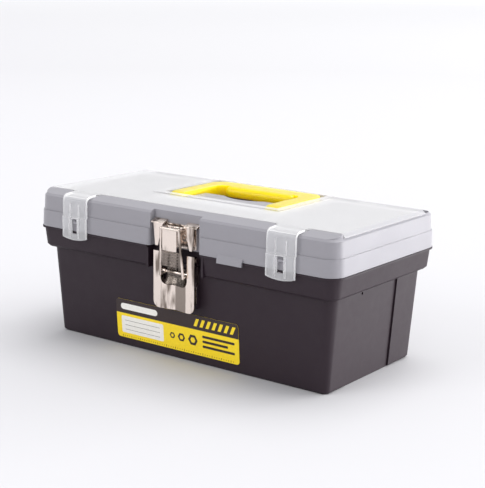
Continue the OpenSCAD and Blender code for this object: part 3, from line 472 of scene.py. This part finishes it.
def labelLayers():
    # outline, ink (0 yellow, 1 dark, 2 white, 3 grey) and level above the film
    half = label["wide"] / 2
    bandLow = label["high"] - label["band"]
    r = label["corner"]
    layers = [(roundedOutline(-half, bandLow, half, label["high"], (0, 0, r, r)), 1, 1)]
    slants = motifs["slants"]
    low = bandLow + slants["low"]
    high = bandLow + slants["high"]
    for i in range(slants["count"]):  # slanted bars across the dark band
        u = slants["from"] + slants["pitch"] * i
        foot = [(u, low), (u + slants["wide"], low)]
        head = [(u + slants["wide"] + slants["slant"], high), (u + slants["slant"], high)]
        layers.append((foot + head, 0, 2))
    plate = motifs["plate"]
    u0, v0, u1, v1 = plate["box"]
    layers.append((roundedOutline(u0, bandLow + v0, u1, bandLow + v1, (plate["corner"],) * 4), 2, 2))
    panel = motifs["panel"]  # to write on
    layers.append((roundedOutline(*panel["box"], (panel["corner"],) * 4), 2, 1))
    lines = motifs["lines"]
    for i in range(lines["count"]):
        v = lines["low"] + lines["pitch"] * i
        layers.append((roundedOutline(lines["from"], v, lines["to"], v + lines["thick"], (0,) * 4), 3, 2))
    nuts = motifs["nuts"]
    for u, outer in nuts["places"]:  # nuts of three sizes
        layers += [(outline, 1, 1) for outline in nutHalves(u, nuts["v"], outer, outer * nuts["hole"])]
    bars = motifs["bars"]
    for i, wide in enumerate(bars["wide"]):  # blank bars
        v = bars["low"] - bars["pitch"] * i
        box = (bars["from"], v, bars["from"] + wide, v + bars["thick"])
        layers.append((roundedOutline(*box, (bars["corner"],) * 4), 1, 1))
    return layers


def makeLabel():
    half = label["wide"] / 2
    r = label["corner"]
    mesh = bpy.data.meshes.new("sticker")
    for material in (labelYellow, labelDark, labelWhite, labelGrey):
        mesh.materials.append(material)
    bm = bmesh.new()
    film(bm, roundedOutline(-half, 0, half, label["high"], (r, r, r, r)), label["sunk"], label["film"], 0)
    for outline, index, level in labelLayers():
        film(bm, outline, label["film"] - label["sunk"], label["film"] + label["ink"] * level, index)
    bmesh.ops.recalc_face_normals(bm, faces=bm.faces)
    bm.to_mesh(mesh)
    bm.free()
    piece = bpy.data.objects.new("stickerFinished", mesh)
    bpy.context.collection.objects.link(piece)
    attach(piece, "bin")
    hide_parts("front_label")


makeLabel()
print("label made")


def nodeGroup(name, inputs):
    # an empty Geometry Nodes group with the named inputs
    tree = bpy.data.node_groups.new(name, "GeometryNodeTree")
    for title, (kind, value) in inputs.items():
        socket = tree.interface.new_socket(title, in_out="INPUT", socket_type="NodeSocket" + kind)
        socket.default_value = value
    tree.interface.new_socket("Geometry", in_out="OUTPUT", socket_type="NodeSocketGeometry")
    return tree, addNode(tree, "NodeGroupInput").outputs


def closeGroup(tree, instances, material):
    real = addNode(tree, "GeometryNodeRealizeInstances", {0: instances})
    painted = addNode(tree, "GeometryNodeSetMaterial", {0: real.outputs[0]}, {"Material": material})
    addNode(tree, "NodeGroupOutput", {0: painted.outputs[0]})


def grow(name, tree, values):
    # an object made by a node group, with its inputs set, as plain mesh
    piece = bpy.data.objects.new(name, bpy.data.meshes.new(name))
    bpy.context.collection.objects.link(piece)
    modifier = piece.modifiers.new("nodes", "NODES")
    modifier.node_group = tree
    for item in tree.interface.items_tree:
        if item.in_out == "INPUT" and item.name in values:
            modifier[item.identifier] = values[item.name]
    settle(piece)
    return piece


def tickGroup(material, longTick):
    tree, given = nodeGroup("tickRow", {
        "Count": ("Int", 10), "Start": ("Vector", (0, 0, 0)), "Step": ("Vector", (0.001, 0, 0)),
        "Tick": ("Vector", (0.001, 0.001, 0.001)), "Long Every": ("Int", 5),
        "Place": ("Vector", (0, 0, 0)), "Turn": ("Vector", (0, 0, 0))})
    row = addNode(tree, "GeometryNodeMeshLine",
                  {"Count": given["Count"], "Start Location": given["Start"], "Offset": given["Step"]})
    index = addNode(tree, "GeometryNodeInputIndex").outputs[0]
    order = addNode(tree, "ShaderNodeMath", {0: index, 1: given["Long Every"]}, operation="MODULO")
    usual = addNode(tree, "ShaderNodeMath", {0: order.outputs[0]}, {1: 0.5}, operation="GREATER_THAN")
    size = addNode(tree, "GeometryNodeSwitch", {"Switch": usual.outputs[0]},
                   {"False": longTick, "True": (1, 1, 1)}, input_type="VECTOR")
    tick = addNode(tree, "GeometryNodeMeshCube", {"Size": given["Tick"]})
    ticks = addNode(tree, "GeometryNodeInstanceOnPoints",
                    {"Points": row.outputs[0], "Instance": tick.outputs[0], "Scale": size.outputs[0]})
    laid = addNode(tree, "GeometryNodeTransform",
                   {"Geometry": ticks.outputs[0], "Translation": given["Place"], "Rotation": given["Turn"]})
    closeGroup(tree, laid.outputs[0], material)
    return tree


# Ruler along the sticker's foot, in millimetres; each long tick is the usual one stretched
ruler = {"count": 50, "pitch": 2.5, "from": -61.25, "up": 1.6, "tick": (0.4, 1.1, 0.06), "longEvery": 4,
         "longTick": (1, 1.8, 1)}
ticks = grow("stickerRuler", tickGroup(labelDark, ruler["longTick"]), {
    "Count": ruler["count"],
    "Start": (ruler["from"] * mm, ruler["up"] * mm, 0),
    "Step": (ruler["pitch"] * mm, 0, 0),
    "Tick": [v * mm for v in ruler["tick"]],
    "Long Every": ruler["longEvery"],
    "Place": onWall(0, 0, label["film"] + label["sunk"]),
    "Turn": (math.pi / 2 + label["lean"], 0, 0),
})
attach(ticks, "bin")


def rivetGroup(material):
    tree, given = nodeGroup("rivetPair", {
        "Apart": ("Float", 0.016), "Shank Radius": ("Float", 0.0016), "Shank Length": ("Float", 0.005),
        "Head Radius": ("Float", 0.003), "Head Height": ("Float", 0.001), "Place": ("Vector", (0, 0, 0))})
    ball = addNode(tree, "GeometryNodeMeshUVSphere", (), {"Segments": 32, "Rings": 16, "Radius": 1})
    spot = addNode(tree, "GeometryNodeInputPosition")
    height = addNode(tree, "ShaderNodeSeparateXYZ", {0: spot.outputs[0]})
    lower = addNode(tree, "ShaderNodeMath", {0: height.outputs["Z"]}, {1: -0.01}, operation="LESS_THAN")
    dome = addNode(tree, "GeometryNodeDeleteGeometry",
                   {"Geometry": ball.outputs[0], "Selection": lower.outputs[0]})
    size = addNode(tree, "ShaderNodeCombineXYZ",
                   {"X": given["Head Radius"], "Y": given["Head Radius"], "Z": given["Head Height"]})
    head = addNode(tree, "GeometryNodeTransform", {"Geometry": dome.outputs[0], "Scale": size.outputs[0]})
    smooth = addNode(tree, "GeometryNodeSetShadeSmooth", {"Geometry": head.outputs[0]})
    shank = addNode(tree, "GeometryNodeMeshCylinder",
                    {"Radius": given["Shank Radius"], "Depth": given["Shank Length"]}, {"Vertices": 24})
    half = addNode(tree, "ShaderNodeMath", {0: given["Shank Length"]}, {1: -0.5}, operation="MULTIPLY")
    sunk = addNode(tree, "ShaderNodeCombineXYZ", {"Z": half.outputs[0]})
    below = addNode(tree, "GeometryNodeTransform",
                    {"Geometry": shank.outputs["Mesh"], "Translation": sunk.outputs[0]})
    rivet = addNode(tree, "GeometryNodeJoinGeometry", {0: smooth.outputs[0]})
    tree.links.new(below.outputs[0], rivet.inputs[0])
    start = addNode(tree, "ShaderNodeMath", {0: given["Apart"]}, {1: -0.5}, operation="MULTIPLY")
    first = addNode(tree, "ShaderNodeCombineXYZ", {"X": start.outputs[0]})
    step = addNode(tree, "ShaderNodeCombineXYZ", {"X": given["Apart"]})
    pair = addNode(tree, "GeometryNodeMeshLine",
                   {"Start Location": first.outputs[0], "Offset": step.outputs[0]}, {"Count": 2})
    both = addNode(tree, "GeometryNodeInstanceOnPoints",
                   {"Points": pair.outputs[0], "Instance": rivet.outputs[0]})
    laid = addNode(tree, "GeometryNodeTransform",
                   {"Geometry": both.outputs[0], "Translation": given["Place"]},
                   {"Rotation": (math.pi / 2, 0, 0)})
    closeGroup(tree, laid.outputs[0], material)
    return tree


# Domed rivets: millimetres apart, radii, head height, and each pair's body, face, height and shank length
rivets = {
    "apart": 16,
    "shankR": 1.6,
    "headR": 3.1,
    "headHeight": 1.0,
    "pairs": {"keeper_rivets": ("lid", -75.2, 109.3, 5.3), "latch_base_rivets": ("bin", -74.2, 60, 6.2)},
}
rivetTree = rivetGroup(nickel)
for node, (body, face, height, length) in rivets["pairs"].items():
    pair = grow(node + "Finished", rivetTree, {
        "Apart": rivets["apart"] * mm,
        "Shank Radius": rivets["shankR"] * mm,
        "Shank Length": length * mm,
        "Head Radius": rivets["headR"] * mm,
        "Head Height": rivets["headHeight"] * mm,
        "Place": (0, face * mm, height * mm),
    })
    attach(pair, body)
    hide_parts(node)
print("rivets and ruler grown")

# Pins keep their CAD form
pinFinish = {"lever_pivots": nickel, "bail_pin": nickel}
for node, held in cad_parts.items():
    if node.endswith(("pin_left", "pin_right")) or node in pinFinish:
        held.data.materials.clear()
        held.data.materials.append(pinFinish.get(node, drawnSteel))

# Camera, worked out from the photograph's edges: millimetres, pixels and degrees
cameraFit = {
    "azimuth": 36.07,
    "elevation": 12.92,
    "roll": 1.0,
    "distance": 1096.2,
    "target": (0, 0, 65),
    "aside": 21.36,
    "above": 19.83,
    "focalPx": 1235.7,
    "centrePx": (255.83, 249.62),
    "picturePx": (485, 488),
    "sensor": 36,
    "clip": (0.01, 200),  # metres
}


def placeCamera(fit):
    turn = math.radians(fit["azimuth"])
    lift = math.radians(fit["elevation"])
    roll = math.radians(fit["roll"])
    back = Vector((math.sin(turn) * math.cos(lift), -math.cos(turn) * math.cos(lift), math.sin(lift)))
    right = Vector((math.cos(turn), math.sin(turn), 0))
    up = back.cross(right)
    rolledRight = right * math.cos(roll) + up * math.sin(roll)
    rolledUp = up * math.cos(roll) - right * math.sin(roll)
    place = Vector(fit["target"]) + rolledRight * fit["aside"] + rolledUp * fit["above"]
    place += back * fit["distance"]
    wide, high = fit["picturePx"]
    camera = bpy.data.cameras.new("camera")
    camera.sensor_width = fit["sensor"]
    camera.lens = fit["sensor"] * fit["focalPx"] / high
    camera.shift_x = -(fit["centrePx"][0] - wide / 2) / high
    camera.shift_y = (fit["centrePx"][1] - high / 2) / high
    camera.clip_start, camera.clip_end = fit["clip"]
    holder = bpy.data.objects.new("camera", camera)
    axes = Matrix((rolledRight, rolledUp, back)).transposed().to_4x4()
    holder.matrix_world = Matrix.Translation(place * mm) @ axes
    bpy.context.collection.objects.link(holder)
    bpy.context.scene.camera = holder


placeCamera(cameraFit)
bpy.context.scene.view_settings.view_transform = "Standard"
print("camera placed")

# Studio in metres: pale paper, a white room that is brighter to the right and behind, and soft lamps
studio = {
    # painted light: the paper is a shade paler towards the bright side of the room
    "paper": ("#cccbce", "#cdccce"),  # paler towards the right and the back
    "paperFrom": (-0.35, 0.45),
    "paperHalf": 60,
    "toothMm": 1.5,
    "toothDepth": 0.0001,
    "toothStrength": 0.05,
    "paperRough": 0.85,
    "farGlow": 0.5,  # keeps the far paper as white as the room
    "glowFrom": (3, 14),
    "room": "#f7f8fa",
    "brightSide": (0.5, 0.6, -0.1),
    "roomLevels": (0.64, 1.22),
    "roomFrom": (-0.7, 0.7),
    "skirt": (0.03, 0.1),  # the room is white below the first height and has its own level above the second
    "aim": (0, 0, 0.07),
    # name: place, width and height, and power in watts
    "lamps": {
        "key": ((8.6, 1.2, 2.8), (9, 9), 130),
        "side": ((5.4, 6.6, 0.85), (7, 1.6), 1000),
        "top": ((0.5, 2.5, 8.5), (6.5, 6.5), 450),
        "front": ((-2.8, -5.6, 3.2), (3.6, 3.6), 140),
    },
    "noGlare": "key",  # would mirror as a square on the flat tops
}


# Paper: matt and almost white, with a fine tooth
def makeFloor():
    mesh = bpy.data.meshes.new("floor")
    far = studio["paperHalf"]
    mesh.from_pydata([(-far, -far, 0), (far, -far, 0), (far, far, 0), (-far, far, 0)], [], [(0, 1, 2, 3)])
    floor = bpy.data.objects.new("floor", mesh)
    bpy.context.collection.objects.link(floor)
    material, tree, place = newMaterial("paper")
    tooth = addNode(tree, "ShaderNodeTexNoise", {"Vector": place},
                    {"Scale": perMm(studio["toothMm"]), "Detail": 3})
    bump = addNode(tree, "ShaderNodeBump", {"Height": tooth.outputs["Fac"]},
                   {"Strength": studio["toothStrength"], "Distance": studio["toothDepth"]})
    # painted light: the paper's colour follows the room's bright side
    across = addNode(tree, "ShaderNodeVectorMath", {0: place}, {1: studio["brightSide"]},
                     operation="DOT_PRODUCT")
    paler = addNode(tree, "ShaderNodeMapRange", {"Value": across.outputs["Value"]},
                    ramp(0, 1, *studio["paperFrom"]))
    nearPaper, farPaper = studio["paper"]
    shade = addNode(tree, "ShaderNodeMix", {"Factor": paler.outputs[0]},
                    {"A": linear(nearPaper), "B": linear(farPaper)}, data_type="RGBA")
    away = addNode(tree, "ShaderNodeVectorMath", {0: place}, operation="LENGTH")
    glow = addNode(tree, "ShaderNodeMapRange", {"Value": away.outputs["Value"]},
                   ramp(0, studio["farGlow"], *studio["glowFrom"]))
    closeMaterial(tree, {"Base Color": shade.outputs["Result"], "Normal": bump.outputs[0],
                         "Emission Strength": glow.outputs[0]},
                  {"Roughness": studio["paperRough"], "Emission Color": linear(studio["room"])})
    mesh.materials.append(material)


def makeRoom():
    world = bpy.data.worlds.new("room")
    bpy.context.scene.world = world
    world.use_nodes = True
    tree = world.node_tree
    around = addNode(tree, "ShaderNodeTexCoord").outputs["Generated"]
    lean = addNode(tree, "ShaderNodeVectorMath", {0: around}, {1: studio["brightSide"]},
                   operation="DOT_PRODUCT")
    level = addNode(tree, "ShaderNodeMapRange", {"Value": lean.outputs["Value"]},
                    ramp(*studio["roomLevels"], *studio["roomFrom"]))
    height = addNode(tree, "ShaderNodeSeparateXYZ", {0: around}).outputs["Z"]
    skirt = addNode(tree, "ShaderNodeMapRange", {"Value": height}, ramp(1, 0, *studio["skirt"]))
    either = addNode(tree, "ShaderNodeMath", {0: level.outputs[0], 1: skirt.outputs[0]}, operation="MAXIMUM")
    backdrop = tree.nodes["Background"]
    backdrop.inputs["Color"].default_value = linear(studio["room"])
    tree.links.new(either.outputs[0], backdrop.inputs["Strength"])


def hangLamps():
    for name, (place, size, power) in studio["lamps"].items():
        lamp = bpy.data.lights.new(name, "AREA")
        lamp.shape = "RECTANGLE"
        lamp.size, lamp.size_y = size
        lamp.energy = power
        holder = bpy.data.objects.new(name, lamp)
        holder.location = place
        holder.visible_camera = False
        holder.visible_glossy = name != studio["noGlare"]
        aim = Vector(studio["aim"]) - Vector(place)
        holder.rotation_euler = aim.to_track_quat("-Z", "Y").to_euler()
        bpy.context.collection.objects.link(holder)


makeFloor()
makeRoom()
hangLamps()
print("studio set")
